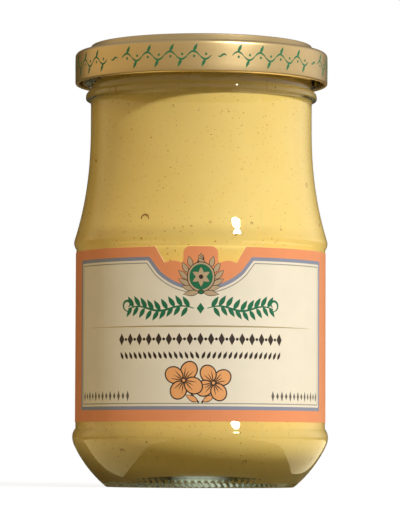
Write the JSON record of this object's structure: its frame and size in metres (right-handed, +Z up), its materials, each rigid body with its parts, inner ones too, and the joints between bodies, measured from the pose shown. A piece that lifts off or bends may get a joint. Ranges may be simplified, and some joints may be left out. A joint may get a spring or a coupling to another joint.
{
  "type": "mustard jar",
  "caption": "Clear glass jar of mustard with a flared shoulder, a rounded heel and a waist-high paper label, closed by a gold twist-off metal lid.",
  "frame": {"origin": "centre of the ring that the jar stands on", "axes": "+Z up along the jar's axis; the front of the label faces -Y"},
  "size_m": [0.0622, 0.0622, 0.1076],
  "materials": {
    "glass": "pressed clear soda-lime glass, fire polished, with a faint green tint",
    "mustard": "smooth opaque yellow paste with fine orange-brown specks",
    "lid": "tinplate under pale gold lacquer, with a green printed band",
    "label": null
  },
  "bodies": {
    "root": {"glass_jar": "glass", "mustard": "mustard", "lid": "lid", "label": "label"}
  },
  "joints": []
}
